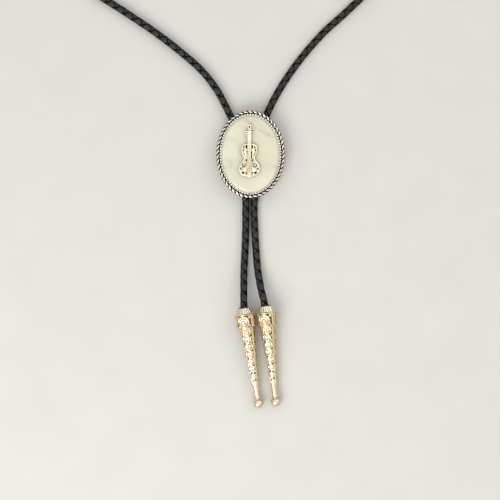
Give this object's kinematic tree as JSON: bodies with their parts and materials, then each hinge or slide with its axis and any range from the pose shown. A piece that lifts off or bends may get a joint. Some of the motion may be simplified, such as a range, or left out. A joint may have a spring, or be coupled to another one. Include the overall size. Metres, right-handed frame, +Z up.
{
  "type": "bolo tie",
  "caption": "Braided leather cord worn round the neck, with an oval pearl slide carrying a small violin and two long embossed metal tips.",
  "frame": {"origin": "the flat underside of the clasp, straight below the middle of the stone", "axes": "+Z up from the front of the slide, +Y from the slide to the neck loop, -Y to the tips, +X to the right seen from the front"},
  "size_m": [0.2149, 0.4036, 0.0113],
  "materials": {
    "braided_leather": "black round-braided leather with a soft sheen",
    "antique_silver": "silver plate with black in the hollows",
    "mother_of_pearl": "polished mother-of-pearl",
    "pale_silver": "bright pale silver casting with dark hollows",
    "champagne_silver": "warm silver plate over embossed scrollwork",
    "clasp_steel": "plain nickel-plated steel"
  },
  "bodies": {
    "root": {"cord_clasp": "clasp_steel", "bezel_setting": "antique_silver", "pearl_stone": "mother_of_pearl", "violin_motif": "pale_silver", "neck_loop": "braided_leather", "tail_left": "braided_leather", "tail_right": "braided_leather", "tip_left": "champagne_silver", "tip_right": "champagne_silver"}
  },
  "joints": []
}
